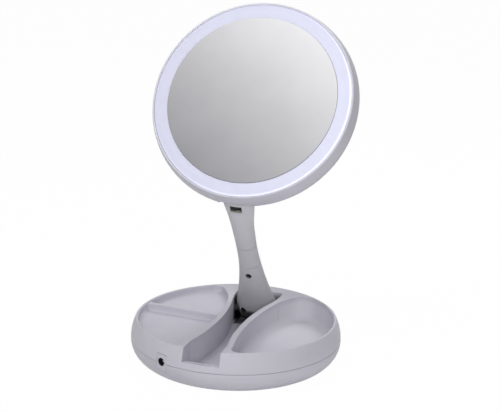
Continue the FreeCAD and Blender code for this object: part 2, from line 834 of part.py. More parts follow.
def swivel_collar():
    low, high = collar_ends()
    shape = arm_blank().common(arm_slab(low + arm_line / 2, high - arm_line / 2)).cut(tube_hole())
    return placed(shape, ARM)


def swivel_tube():
    low, high = collar_ends()
    reach = swivel_tube_reach - fit_gap
    middle = swivel_bow_share * arm_bow
    tube = rod_z(swivel_tube_radius, low - reach, high + reach, 0, middle)
    tube = tube.cut(rod_z(swivel_tube_radius - swivel_tube_wall, low - overrun, high + overrun, 0, middle))
    return placed(tube, ARM)


def switch_height():
    return switch_share * arm_length


def switch_face():
    return arm_front(switch_height()) + switch_sink


def switch_cuts():
    """Window in the neck's front and the room for the switch behind it."""
    middle = switch_height()
    half = window_width / 2
    tall = window_height / 2
    face = switch_face()
    window = box((switch_middle - half, switch_middle + half), (face - overrun, face),
                 (middle - tall, middle + tall))
    half = switch_body_width / 2 + fit_gap
    tall = switch_body_height / 2 + fit_gap
    room = box((switch_middle - half, switch_middle + half),
               (face - fit_gap, face + switch_body_depth + fit_gap), (middle - tall, middle + tall))
    return [window, room]


def upper_arm_front():
    low, high = collar_ends()
    end = neck_cover_end_share * arm_length
    shape = arm_blank().common(arm_slab(high + arm_line / 2, arm_length + overrun))
    cuts = [rear_part(high - overrun, end, 0), tube_hole()] + switch_cuts()
    cuts.append(rod_x(head_pin_radius + pin_gap, base_radius, knuckle_setback, arm_length))
    shape = shape.cut(cuts)
    return placed(shape, ARM)


def upper_arm_rear():
    low, high = collar_ends()
    end = neck_cover_end_share * arm_length
    shape = arm_blank().common(rear_part(high + arm_line / 2, end, -fit_gap / 2)).cut(tube_hole())
    return placed(shape, ARM)


def switch_body():
    middle = switch_height()
    half = switch_body_width / 2
    tall = switch_body_height / 2
    face = switch_face()
    body = box((switch_middle - half, switch_middle + half), (face, face + switch_body_depth),
               (middle - tall, middle + tall))
    return placed(body, ARM)


def switch_knob():
    """Sliding knob at the left end of its travel."""
    middle = switch_height()
    left = switch_middle - window_width / 2 + run_gap
    tall = knob_height / 2
    back = switch_face() - run_gap
    front = back - knob_proud
    knob = box((left, left + knob_width), (front, back), (middle - tall, middle + tall))
    grooves = []
    for share in knob_groove_shares:
        start = left + share * knob_width
        grooves.append(box((start, start + knob_groove), (front, front + knob_groove),
                           (middle - overrun, middle + overrun)))
    knob = knob.cut(grooves)
    return placed(knob, ARM)


def head_front_shell():
    """Bezel: front lip, curved side wall as far as the seam, open at the notch."""
    lip = diffuser_radius + run_gap
    waist = head_radius - (head_radius - head_front_radius) * bulge_share
    half = head_seam / 2
    shell = turned((lip, mirror_inset), ((lip + bezel_lip / 2, 0), (head_front_radius, bezel_lip / 2)),
                   ((waist, half), (head_radius, head_seam)), (head_radius - head_wall, head_seam),
                   ((waist - head_wall, half), (lip, mirror_inset + diffuser_thickness + bezel_lip)))
    shell = facing(shell).cut(notch(0))
    return placed(shell, HEAD)


def notch(gap):
    """Opening for the knuckle in the head's own frame."""
    half = notch_half + gap
    return box((-half, half), (notch_depth - gap, head_depth + overrun),
               (-head_radius - overrun, -notch_end + gap))


def head_screw_spots():
    spots = []
    for angle in head_screw_angles:
        turn = math.radians(angle)
        spots.append(V(ring_middle * math.cos(turn), 0, ring_middle * math.sin(turn)))
    return spots


def carrier_back():
    return board_depth + board_thickness + fit_gap + carrier_plate


def head_rear_shell():
    """Rear cover: side wall, back with the magnifier's opening, notch tub and screw bosses."""
    start = head_seam + seam_gap
    back_in = head_depth - head_wall
    bulge = head_radius - (head_radius - head_back_radius) * bulge_share
    middle = (start + head_depth) / 2
    inner = head_back_radius - head_wall
    seat = rear_mirror_radius + fit_gap
    ring = seat + head_wall
    ring_low = head_depth - rear_lip - rear_mirror_thickness - head_wall
    shell = turned((head_radius, start), ((bulge, middle), (head_back_radius, head_depth)),
                   (rear_opening, head_depth), (rear_opening, head_depth - rear_lip),
                   (seat, head_depth - rear_lip), (seat, ring_low), (ring, ring_low), (ring, back_in),
                   (inner, back_in), ((bulge - head_wall, middle), (head_radius - head_wall, start)))
    room = turned((ring, carrier_back() + fit_gap), (inner, carrier_back() + fit_gap),
                  (inner, back_in + head_wall / 2), (ring, back_in + head_wall / 2))
    tub = notch(notch_wall)
    half = notch_half + pin_socket_length
    tall = head_pin_radius + boss_wall
    sockets = box((-half, half), (hinge_depth - tall, back_in + head_wall / 2),
                  (-hinge_radius - tall, -hinge_radius + tall))
    bosses = [rod_y(screw_radius + boss_wall, carrier_back() + fit_gap, back_in + head_wall / 2, spot)
              for spot in head_screw_spots()]
    shell = facing(shell).fuse([facing(room).common(tub), sockets] + bosses)
    cuts = [notch(0), rod_x(head_pin_radius + pin_gap, half - notch_wall, hinge_depth, -hinge_radius)]
    for spot in head_screw_spots():
        cuts.append(rod_y(screw_radius, 0, head_depth + overrun, spot))
        cuts.append(rod_y(screw_head_radius + fit_gap, head_depth - screw_head_height - fit_gap,
                          head_depth + overrun, spot))
    shell = shell.cut(cuts).removeSplitter()
    return placed(shell, HEAD)


def head_screws():
    screws = []
    for spot in head_screw_spots():
        one = screw(head_screw_length)
        one.rotate(ORIGIN, RIGHT, 90)
        one.translate(V(spot.x, head_depth - fit_gap / 2, spot.z))
        screws.append(one)
    group = Part.Compound(screws)
    return placed(group, HEAD)


def mirror_carrier():
    """Plate between the two mirrors that also carries the light board."""
    front = mirror_inset + mirror_thickness + fit_gap
    flange = board_depth + board_thickness + fit_gap
    edge = mirror_radius - fit_gap
    rim = head_front_radius - head_wall / 2
    ring = rear_mirror_radius - carrier_ring / 2
    ring_end = magnifier_face(ring - carrier_ring) - rear_mirror_thickness
    plate = turned((0, front), (edge, front), (edge, flange), (rim, flange), (rim, carrier_back()),
                   (ring, carrier_back()), (ring, ring_end), (ring - carrier_ring, ring_end),
                   (ring - carrier_ring, front + carrier_plate), (0, front + carrier_plate))
    plate = facing(plate)
    holes = [rod_y(screw_radius, 0, head_depth, spot) for spot in head_screw_spots()]
    plate = plate.cut(holes)
    return placed(plate, HEAD)


def front_mirror():
    glass = turned((0, mirror_inset), (mirror_radius, mirror_inset),
                   (mirror_radius, mirror_inset + mirror_thickness), (0, mirror_inset + mirror_thickness))
    glass = facing(glass)
    return placed(glass, HEAD)


def light_diffuser():
    """Milky ring round the mirror, a little crowned."""
    inside = mirror_radius + run_gap
    front = mirror_inset + diffuser_crown
    back = front + diffuser_thickness
    middle = (inside + diffuser_radius) / 2
    ring = turned((inside, front), ((middle, mirror_inset), (diffuser_radius, front)),
                  (diffuser_radius, back), (inside, back))
    ring = facing(ring)
    return placed(ring, HEAD)


def led_board():
    inside = mirror_radius + board_edge
    outside = diffuser_radius - board_edge
    ring = turned((inside, board_depth), (outside, board_depth), (outside, board_depth + board_thickness),
                  (inside, board_depth + board_thickness))
    ring = facing(ring)
    holes = [rod_y(screw_radius + fit_gap, 0, head_depth, spot) for spot in head_screw_spots()]
    ring = ring.cut(holes)
    return placed(ring, HEAD)


def leds():
    chips = []
    for index in range(led_count):
        chip = box((ring_middle - led_size / 2, ring_middle + led_size / 2),
                   (board_depth - led_height, board_depth), (-led_width / 2, led_width / 2))
        chip.rotate(ORIGIN, V(0, 1, 0), (2 * index + 1) * 180 / led_count)
        chips.append(chip)
    group = Part.Compound(chips)
    return placed(group, HEAD)


def magnifier_face(radius):
    """Depth of the magnifier's hollow face behind the head's front, at a radius."""
    edge = head_depth - rear_lip - fit_gap / 2
    drop = math.sqrt(rear_mirror_curve ** 2 - radius ** 2)
    return edge - drop + math.sqrt(rear_mirror_curve ** 2 - rear_mirror_radius ** 2)


def rear_mirror():
    """Magnifying glass with a hollow face to the back."""
    half = rear_mirror_radius / 2
    middle, between, edge = [magnifier_face(radius) for radius in (0, half, rear_mirror_radius)]
    thick = rear_mirror_thickness - fit_gap
    glass = turned((0, middle), ((half, between), (rear_mirror_radius, edge)),
                   (rear_mirror_radius, edge - thick), ((half, between - thick), (0, middle - thick)))
    glass = facing(glass)
    return placed(glass, HEAD)


def head_hinge_pin():
    half = notch_half + pin_socket_length - notch_wall - fit_gap
    pin = rod_x(head_pin_radius, half, hinge_depth, -hinge_radius)
    return placed(pin, HEAD)


def head_hinge_washers():
    pair = washers(head_washer_radius, head_pin_radius + pin_gap, head_washer_thickness,
                   arm_top_half + run_gap)
    pair.translate(V(0, hinge_depth, -hinge_radius))
    return placed(pair, HEAD)


NODES = (base_top, base_bottom, base_feet, base_screws, battery_door, battery_cells, battery_contacts,
         control_board, jack_plate, dc_jack, base_hinge_pin, base_hinge_washers,
         lower_arm_front, lower_arm_rear, lower_arm_screws, swivel_collar, swivel_tube,
         upper_arm_front, upper_arm_rear, switch_body, switch_knob,
         head_front_shell, head_rear_shell, head_screws, mirror_carrier, front_mirror, light_diffuser,
         led_board, leds, rear_mirror, head_hinge_pin, head_hinge_washers)


def main():
    os.makedirs("parts", exist_ok=True)
    for make in NODES:
        shape = make()
        shape.exportStep("parts/" + make.__name__ + ".step")
        print(make.__name__, len(shape.Solids), "solids, valid", shape.isValid(), shape.BoundBox)


main()
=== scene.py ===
import math

import bpy
from bpy.props import FloatProperty, FloatVectorProperty, PointerProperty
from mathutils import Matrix, Vector


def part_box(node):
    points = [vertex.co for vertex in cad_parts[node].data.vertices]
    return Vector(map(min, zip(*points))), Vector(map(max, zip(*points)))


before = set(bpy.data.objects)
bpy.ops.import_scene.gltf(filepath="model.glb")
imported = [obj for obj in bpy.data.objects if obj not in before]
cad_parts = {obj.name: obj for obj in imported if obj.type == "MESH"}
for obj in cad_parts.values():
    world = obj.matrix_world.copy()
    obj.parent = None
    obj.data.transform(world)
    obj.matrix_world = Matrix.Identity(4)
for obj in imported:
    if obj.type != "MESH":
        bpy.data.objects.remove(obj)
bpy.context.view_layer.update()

bl_info = {
    "name": "Lighted Folding Mirror",
    "version": (1, 0, 0),
    "blender": (4, 5, 0),
    "location": "3D View > Sidebar > Mirror",
    "description": "Finishes and studio for a folding vanity mirror with a light ring",
    "category": "Object",
}

MILLIMETRE = 0.001

# The head's own frame: middle of its face, and the way its face looks
FACE_LOW, FACE_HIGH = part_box("front_mirror")
FACE_MIDDLE = (FACE_LOW + FACE_HIGH) / 2
FACE_TILT = math.atan2(FACE_HIGH.y - FACE_LOW.y, FACE_HIGH.z - FACE_LOW.z)
FACE_UP = Vector((0, math.sin(FACE_TILT), math.cos(FACE_TILT)))
FACE_OUT = Vector((0, -math.cos(FACE_TILT), math.sin(FACE_TILT)))
FACE_RADIUS = (FACE_HIGH.x - FACE_LOW.x) / 2
RING_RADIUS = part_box("light_diffuser")[1].x

# The base's frame, and the height of its rim
RIGHT = Vector((1, 0, 0))
BACK = Vector((0, 1, 0))
UP = Vector((0, 0, 1))
ORIGIN = Vector((0, 0, 0))
RIM_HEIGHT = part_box("base_top")[1].z

# Land between trough and deep tray, where the painted light in the deep tray begins: its middle bows out from
# its waist, as bow times distance squared
LAND_WAIST = 12.4 * MILLIMETRE
LAND_WAIST_FRONT = 12.0 * MILLIMETRE
LAND_BOW = 2.55
PAINTED_LIGHT_BORDER = 0.6 * MILLIMETRE
TRAY_WALL_INSET = 5.5 * MILLIMETRE

# Hole of the power inlet, dark with painted shade, and the pin in it
INLET_RADIUS = 3.3 * MILLIMETRE
INLET_PIN_RADIUS = 1.0 * MILLIMETRE

# Window in front of the switch, with painted shade on its sides, from the middle of the switch body
WINDOW_HALF_HEIGHT = 3.2 * MILLIMETRE
WINDOW_HALF_WIDTH = 5.3 * MILLIMETRE
WINDOW_FRONT = 4.7 * MILLIMETRE
WINDOW_BACK = 1.6 * MILLIMETRE

# Studio lamps: place of each, and what all of them look at
LAMP_SIZE = 0.8
LAMP_AIM = (0.0, 0.0, 0.13)
LAMP_PLACES = {
    "key": (-0.45, -0.55, 1.2),
    "fill": (0.55, -0.95, 0.5),
    "left": (-0.9, -0.9, 0.6),
    "back": (0.1, 0.65, 1.0),
}
FLOOR_HALF = 6.0


def colour(name, text, value):
    return FloatVectorProperty(name=name, description=text, subtype="COLOR", size=3, min=0, max=1,
                               default=value)


def share(name, text, value):
    return FloatProperty(name=name, description=text, subtype="FACTOR", min=0, max=1, default=value)


def length(name, text, value):
    return FloatProperty(name=name, description=text, subtype="DISTANCE", unit="LENGTH", min=0, default=value)


def angle(name, text, value):
    return FloatProperty(name=name, description=text, subtype="ANGLE", unit="ROTATION",
                         default=math.radians(value))


def number(name, text, value):
    return FloatProperty(name=name, description=text, min=0, default=value)


class MirrorFinishes(bpy.types.PropertyGroup):
    """Colours and surface values of the mirror's own pieces, some with painted light and shade."""
    shell: colour("Shell", "Pale lilac-grey plastic of base, arm and head", (0.600, 0.590, 0.655))
    arm: colour("Arm", "Slightly greyer plastic of the arm", (0.600, 0.597, 0.632))
    # Painted shade: the arm darkens towards its foot, where less light reaches it.
    foot: colour("Arm's foot", "Darker plastic towards the foot of the arm", (0.470, 0.468, 0.495))
    # Painted shade on the sides of the switch's window.
    window_shade: colour("Switch window", "Olive-grey sides of the switch's window", (0.42, 0.42, 0.37))
    # Painted light: the inside of the deep tray is paler towards its back.
    tray: colour("Deep tray", "Slightly paler inside of the deep tray", (0.695, 0.688, 0.735))
    # Painted light: the lip is paler beside the light ring, as if lit by it.
    lip: colour("Lip", "Front lip of the head, paler beside the light ring", (0.80, 0.80, 0.88))
    # Painted shade: black in the hinge pocket, on the arm's barrel below the rim and in narrow holes.
    pocket: colour("Hinge pocket", "Black inside of the pocket at the arm's foot", (0.012, 0.012, 0.013))
    pocket_fade: length("Pocket fade", "Length over which the pocket's black fades out", 9.0 * MILLIMETRE)
    hole_reach: length("Hole reach", "Width of the holes that look black inside", 4.0 * MILLIMETRE)
    shell_rough: share("Shell roughness", "How satin the plastic is", 0.44)
    shell_edge: length("Shell edge", "Radius to which the moulded edges are softened", 0.5 * MILLIMETRE)
    ring: colour("Light ring", "Milky plastic of the light ring", (0.64, 0.65, 0.78))
    ring_light: colour("Ring light", "Colour of the light behind the ring", (0.80, 0.80, 1.0))
    ring_glow: number("Ring glow", "How strongly the ring shines", 0.22)
    ring_edge: length("Ring edge", "Width of the bright line at the ring's outer edge", 1.3 * MILLIMETRE)
    # Painted reflection: the mirrors' colour runs from this dark grey at lower left to the bright grey at
    # upper right.
    reflection_dark: colour("Mirror, dark side", "What the mirror shows at lower left", (0.334, 0.330, 0.348))
    reflection_bright: colour("Mirror, bright side", "What the mirror shows at upper right", (0.865, 0.865, 0.885))
    glass_rough: share("Mirror roughness", "How clean the silvering is", 0.03)
    steel: colour("Steel", "Pins, screws and contacts", (0.55, 0.55, 0.57))
    # Painted shade: the arm's screws are near black, standing in for the shade deep in their holes.
    screw_hole_shade: colour("Blackened steel", "Screws in the arm", (0.012, 0.012, 0.012))
    dark: colour("Dark plastic", "Power inlet and switch body", (0.022, 0.022, 0.025))
    knob: colour("Switch knob", "Near-black sliding knob", (0.032, 0.031, 0.027))
    rubber: colour("Rubber", "Feet under the base", (0.035, 0.035, 0.038))
    nylon: colour("Nylon", "Washers in the hinges", (0.045, 0.045, 0.05))
    board: colour("Board", "Solder mask of the control board", (0.02, 0.16, 0.06))
    light_board: colour("Light board", "White ring board behind the light ring", (0.78, 0.78, 0.76))
    chip: colour("Light chip", "Phosphor of the light chips", (0.88, 0.80, 0.36))
    cell: colour("Cell", "Plain wrap of the cells", (0.06, 0.065, 0.075))


class MirrorStudio(bpy.types.PropertyGroup):
    """Camera, lamps and floor."""
    view_round: angle("Round", "Camera's turn round the mirror from its front", 18.12)
    view_up: angle("Up", "Camera's height above the horizon, as an angle", 15.56)
    view_roll: angle("Roll", "Camera's turn about its own line of sight", 1.11)
    view_far: length("Distance", "Camera from the point that it looks at", 1.1)
    lens: FloatProperty(name="Lens", description="Focal length", unit="CAMERA", min=1, default=97.5)
    look_at: FloatVectorProperty(name="Look at", description="Point in the picture's middle", subtype="XYZ",
                                 unit="LENGTH", size=3, default=(0.0102, 0.0, 0.1314))
    key: number("Key lamp", "Large lamp above the front at the left, in watts", 5.6)
    fill: number("Fill lamp", "Large lamp beside the camera, in watts", 6.0)
    left: number("Left lamp", "Large lamp in front at the left, in watts", 1.6)
    back: number("Back lamp", "Large lamp above the back, in watts", 6.0)
    sky: number("Sky", "Strength of the even light from all round", 0.06)
    floor: colour("Floor", "Pale floor", (0.90, 0.90, 0.90))
    floor_white: share("Floor whiteness", "How far the floor is taken to plain white in the picture", 0.985)


def finishes():
    return bpy.context.scene.mirror_finishes


def studio():
    return bpy.context.scene.mirror_studio


class Surface:
    """A material made node by node round one Principled shader."""

    def __init__(self, name):
        self.material = bpy.data.materials.new(name)
        self.material.use_nodes = True
        self.tree = self.material.node_tree
        self.shader = self.tree.nodes["Principled BSDF"]
        self.place = self.tree.nodes.new("ShaderNodeTexCoord").outputs["Object"]

    def node(self, kind, **values):
        made = self.tree.nodes.new(kind)
        for key, value in values.items():
            setattr(made, key, value)
        return made

    def link(self, source, target):
        self.tree.links.new(source, target)

    def constant(self, **values):
        """Values that are the same all over, set on the shader's own sockets."""
        for key, value in values.items():
            self.shader.inputs[key.replace("_", " ")].default_value = value

    def noise(self, size, detail=3.0, rough=0.55, stretch=(1, 1, 1)):
        """Cloudy pattern whose patches are about this size, in metres."""
        scaled = self.node("ShaderNodeMapping")
        scaled.inputs["Scale"].default_value = [way / size for way in stretch]
        self.link(self.place, scaled.inputs["Vector"])
        made = self.node("ShaderNodeTexNoise")
        made.inputs["Scale"].default_value = 1.0
        made.inputs["Detail"].default_value = detail
        made.inputs["Roughness"].default_value = rough
        self.link(scaled.outputs["Vector"], made.inputs["Vector"])
        return made.outputs["Fac"]

    def ramp(self, source, *stops):
        """Colours at places from 0 to 1 along a pattern."""
        made = self.node("ShaderNodeValToRGB")
        band = made.color_ramp
        while len(band.elements) < len(stops):
            band.elements.new(1.0)
        for element, (place, tint) in zip(band.elements, stops):
            element.position = place
            element.color = (*tint, 1)
        self.link(source, made.inputs["Fac"])
        return made.outputs["Color"]

    def spread(self, source, low, high, start=0.0, end=1.0):
        made = self.node("ShaderNodeMapRange")
        for key, value in (("From Min", start), ("From Max", end), ("To Min", low), ("To Max", high)):
            made.inputs[key].default_value = value
        self.link(source, made.inputs["Value"])
        return made.outputs["Result"]

    def maths(self, operation, first, second):
        made = self.node("ShaderNodeMath", operation=operation)
        for socket, value in zip(made.inputs, (first, second)):
            if isinstance(value, (int, float)):
                socket.default_value = value
            else:
                self.link(value, socket)
        return made.outputs["Value"]

    def along(self, middle, way):
        """Distance from a point along a direction, in metres."""
        moved = self.node("ShaderNodeVectorMath", operation="SUBTRACT")
        self.link(self.place, moved.inputs[0])
        moved.inputs[1].default_value = middle
        dot = self.node("ShaderNodeVectorMath", operation="DOT_PRODUCT")
        self.link(moved.outputs["Vector"], dot.inputs[0])
        dot.inputs[1].default_value = way
        return dot.outputs["Value"]

    def distance(self, first, second):
        """Length of the sloping side over two distances at a right angle."""
        squares = [self.maths("POWER", one, 2) for one in (first, second)]
        return self.maths("SQRT", self.maths("ADD", *squares), 0)

    def bump(self, *patterns, edge=0.0):
        """Small relief, each pattern with its height in metres, over softened edges."""
        normal = None
        if edge:
            soft = self.node("ShaderNodeBevel", samples=6)
            soft.inputs["Radius"].default_value = edge
            normal = soft.outputs["Normal"]
        for pattern, height in patterns:
            made = self.node("ShaderNodeBump")
            made.inputs["Distance"].default_value = height
            self.link(pattern, made.inputs["Height"])
            if normal:
                self.link(normal, made.inputs["Normal"])
            normal = made.outputs["Normal"]
        self.link(normal, self.shader.inputs["Normal"])


def tinted(base, factor):
    return tuple(min(1.0, value * factor) for value in base)


def dress(material, *names):
    """Gives CAD pieces a material."""
    for name in names:
        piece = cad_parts[name]
        piece.data.materials.clear()
        piece.data.materials.append(material)


def moulded_plastic(name, base, rough, grain=0.35 * MILLIMETRE, edge=0.0):
    """Moulded plastic: faint cloudiness in the colour, fine spark texture, slight waviness."""
    made = Surface(name)
    cloud = made.noise(35 * MILLIMETRE)
    made.tint = made.ramp(cloud, (0.3, tinted(base, 0.965)), (0.7, tinted(base, 1.03)))
    made.link(made.tint, made.shader.inputs["Base Color"])
    fine = made.noise(grain, detail=2.0)
    made.link(made.spread(fine, rough - 0.05, rough + 0.05, 0.3, 0.7), made.shader.inputs["Roughness"])
    waves = made.noise(14 * MILLIMETRE, detail=1.0)
    made.bump((waves, 0.03 * MILLIMETRE), (fine, 0.006 * MILLIMETRE), edge=edge)
    return made


def turned_metal(name, base, rough):
    """Bright metal with fine lines from drawing and turning."""
    made = Surface(name)
    lines = made.noise(0.25 * MILLIMETRE, detail=2.0, stretch=(0.04, 1, 1))
    tint = made.ramp(lines, (0.3, tinted(base, 0.86)), (0.7, tinted(base, 1.08)))
    made.link(tint, made.shader.inputs["Base Color"])
    made.link(made.spread(lines, rough - 0.08, rough + 0.08, 0.3, 0.7), made.shader.inputs["Roughness"])
    made.constant(Metallic=1.0)
    made.bump((lines, 0.004 * MILLIMETRE), edge=0.15 * MILLIMETRE)
    return made


def shell_plastic(name, base):
    """Satin plastic of the shells."""
    look = finishes()
    made = moulded_plastic(name, base, look.shell_rough, edge=look.shell_edge)
    made.constant(IOR=1.48, Specular_IOR_Level=0.12)
    return made


def mix_in(made, mask, second):
    """A second colour where the mask is 1."""
    mix = made.node("ShaderNodeMix", data_type="RGBA")
    made.link(mask, mix.inputs["Factor"])
    made.link(made.tint, mix.inputs[6])
    mix.inputs[7].default_value = (*second, 1)
    made.tint = mix.outputs[2]
    made.link(made.tint, made.shader.inputs["Base Color"])


def all_of(made, *masks):
    """Mask that is 1 where all of these are 1."""
    total = masks[0]
    for one in masks[1:]:
        total = made.maths("MULTIPLY", total, one)
    return total


def paint_hinge_pocket_shade(made):
    """Painted shade: black inside of the pocket in which the foot of the arm turns, weaker towards the right.
    """
    low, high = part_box("base_hinge_washers")
    fade = finishes().pocket_fade
    front = made.spread(made.along(BACK * (low.y - fade), BACK), 0.0, 1.0, 0.0, fade)
    back = made.spread(made.along(BACK * high.y, BACK), 1.0, 0.0, 7.0 * MILLIMETRE, 7.5 * MILLIMETRE)
    deep = made.spread(made.along(UP * RIM_HEIGHT, -UP), 0.0, 1.0, 1.0 * MILLIMETRE, 4.0 * MILLIMETRE)
    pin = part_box("base_hinge_pin")[1].x
    beside = made.maths("ABSOLUTE", made.along(ORIGIN, RIGHT), 0)
    inside = made.spread(beside, 1.0, 0.0, pin - 3.0 * MILLIMETRE, pin - 2.0 * MILLIMETRE)
    left = made.spread(made.along(ORIGIN, -RIGHT), 0.45, 1.0, -8.0 * MILLIMETRE, 8.0 * MILLIMETRE)
    mix_in(made, all_of(made, front, back, deep, inside, left), finishes().pocket)


def paint_hole_shade(made):
    """Painted shade: black inside of narrow holes, found by ambient occlusion."""
    open_sky = made.node("ShaderNodeAmbientOcclusion", samples=8, only_local=True)
    open_sky.inputs["Distance"].default_value = finishes().hole_reach
    mix_in(made, made.spread(open_sky.outputs["AO"], 1.0, 0.0, 0.70, 0.98), finishes().pocket)


def paint_deep_tray_light(made):
    """Painted light: paler inside of the deep tray towards its back, from the land beside the trough to the
    outer wall.
    """
    deep = made.spread(made.along(UP * RIM_HEIGHT, -UP), 0.0, 1.0, 0.5 * MILLIMETRE, 5.0 * MILLIMETRE)
    across = made.along(ORIGIN, RIGHT)
    back = made.along(ORIGIN, BACK)
    from_waist = made.maths("ADD", back, LAND_WAIST_FRONT)
    land = made.maths("MULTIPLY", made.maths("POWER", from_waist, 2), LAND_BOW)
    beside = made.spread(made.maths("SUBTRACT", across, land), 0.0, 1.0, LAND_WAIST, LAND_WAIST + PAINTED_LIGHT_BORDER)
    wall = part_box("base_top")[1].x - TRAY_WALL_INSET
    within = made.spread(made.distance(across, back), 1.0, 0.0, wall, wall + 0.5 * MILLIMETRE)
    rear = made.spread(back, 0.0, 1.0, -10.0 * MILLIMETRE, 50.0 * MILLIMETRE)
    mix_in(made, all_of(made, deep, beside, within, rear), finishes().tray)


def paint_switch_window_shade(made):
    """Painted shade: olive-grey sides of the window in front of the switch."""
    body_low, body_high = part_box("switch_body")
    knob_low, knob_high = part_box("switch_knob")
    middle = (body_low + body_high) / 2
    out = (knob_low + knob_high) / 2 - middle
    out = Vector((0, out.y, out.z)).normalized()
    rise = made.maths("ABSOLUTE", made.along(middle, RIGHT.cross(out)), 0)
    aside = made.maths("ABSOLUTE", made.along(middle, RIGHT), 0)
    depth = made.along(middle, out)
    tall = made.spread(rise, 1.0, 0.0, WINDOW_HALF_HEIGHT, WINDOW_HALF_HEIGHT + 0.2 * MILLIMETRE)
    wide = made.spread(aside, 1.0, 0.0, WINDOW_HALF_WIDTH, WINDOW_HALF_WIDTH + 0.2 * MILLIMETRE)
    sunk = made.spread(depth, 1.0, 0.0, WINDOW_FRONT, WINDOW_FRONT + 0.4 * MILLIMETRE)
    before = made.spread(depth, 0.0, 1.0, WINDOW_BACK, WINDOW_BACK + 0.4 * MILLIMETRE)
    mix_in(made, all_of(made, tall, wide, sunk, before), finishes().window_shade)


def near_inlet_axis(made, radius):
    """Mask that is 1 within a radius of the power inlet's axis."""
    low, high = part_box("dc_jack")
    middle = (low + high) / 2
    out = Vector((middle.x, middle.y, 0)).normalized()
    reach = made.distance(made.along(middle, UP.cross(out)), made.along(middle, UP))
    return made.spread(reach, 1.0, 0.0, radius, radius + 0.2 * MILLIMETRE)


class MIRROR_OT_shells(bpy.types.Operator):
    """Give base, arm and head their satin lilac-grey plastic, with painted light and shade in places"""
    bl_idname = "mirror.shells"
    bl_label = "Plastic Shells"

    def execute(self, context):
        look = finishes()
        plastic = shell_plastic("lilac_grey_plastic", look.shell)
        dress(plastic.material, "base_bottom", "battery_door", "head_rear_shell")
        plate_painted_shade = shell_plastic("lilac_grey_plastic_with_inlet", look.shell)
        # Painted shade: the wall of the inlet's hole in the plate is dark.
        mix_in(plate_painted_shade, near_inlet_axis(plate_painted_shade, INLET_RADIUS), look.dark)
        dress(plate_painted_shade.material, "jack_plate")
        lip_painted_light = shell_plastic("lilac_grey_plastic_with_lip", look.shell)
        # Painted light: the front lip is paler beside the light ring.
        depth = lip_painted_light.along(FACE_MIDDLE, FACE_OUT)
        mix_in(lip_painted_light, lip_painted_light.spread(depth, 0.0, 1.0, 0.5 * MILLIMETRE, 1.3 * MILLIMETRE), look.lip)
        dress(lip_painted_light.material, "head_front_shell")
        # Painted light in the deep tray and painted shade in the hinge pocket.
        base_top_painted_light_and_shade = shell_plastic("lilac_grey_plastic_with_pocket", look.shell)
        paint_deep_tray_light(base_top_painted_light_and_shade)
        paint_hinge_pocket_shade(base_top_painted_light_and_shade)
        dress(base_top_painted_light_and_shade.material, "base_top")
        greyer = shell_plastic("grey_arm_plastic", look.arm)
        dress(greyer.material, "swivel_collar", "upper_arm_rear")
        # Painted shade: the lower arm darkens towards its foot, its barrel goes black well below the rim, and
        # narrow holes go black.
        lower_arm_painted_shade = shell_plastic("grey_arm_plastic_with_foot", look.arm)
        foot = lower_arm_painted_shade.along(UP * RIM_HEIGHT, UP)
        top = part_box("lower_arm_front")[1].z - RIM_HEIGHT
        mix_in(lower_arm_painted_shade, lower_arm_painted_shade.spread(foot, 1.0, 0.0, 0.0, top), look.foot)
        mix_in(lower_arm_painted_shade, lower_arm_painted_shade.spread(foot, 0.9, 0.0, -14.0 * MILLIMETRE, -10.5 * MILLIMETRE), look.pocket)
        paint_hole_shade(lower_arm_painted_shade)
        dress(lower_arm_painted_shade.material, "lower_arm_front", "lower_arm_rear")
        upper_arm_painted_shade = shell_plastic("grey_arm_plastic_with_window", look.arm)
        paint_switch_window_shade(upper_arm_painted_shade)
        dress(upper_arm_painted_shade.material, "upper_arm_front")
        white = moulded_plastic("white_inner_plastic", (0.72, 0.72, 0.71), 0.5)
        dress(white.material, "mirror_carrier")
        return {"FINISHED"}


class MIRROR_OT_glasses(bpy.types.Operator):
    """Silver the plain mirror and the magnifying mirror, with a painted reflection of the studio"""
    bl_idname = "mirror.glasses"
    bl_label = "Mirror Glasses"

    def execute(self, context):
        look = finishes()
        # Painted reflection: the silver runs from dark at lower left to bright at upper right, with a faint
        # drift.
        diagonal = (0.57 * RIGHT + 0.82 * FACE_UP).normalized()
        for name in ("front_mirror", "rear_mirror"):
            glass = Surface(name + "_silver")
            reach = glass.along(FACE_MIDDLE, diagonal)
            haze = glass.noise(22 * MILLIMETRE, detail=2.0)
            drift = glass.maths("MULTIPLY", glass.spread(haze, -1.0, 1.0, 0.3, 0.7), 0.02)
            shade = glass.maths("ADD", glass.spread(reach, 0.0, 1.0, -FACE_RADIUS, FACE_RADIUS), drift)
            middle = [(a + b) / 2 for a, b in zip(look.reflection_dark, look.reflection_bright)]
            stops = ((0.0, look.reflection_dark), (0.5, tinted(middle, 0.936)), (1.0, look.reflection_bright))
            glass.link(glass.ramp(shade, *stops), glass.shader.inputs["Base Color"])
            rough = glass.spread(haze, look.glass_rough, look.glass_rough + 0.03)
            glass.link(rough, glass.shader.inputs["Roughness"])
            glass.constant(Metallic=1.0)
            dress(glass.material, name)
        return {"FINISHED"}


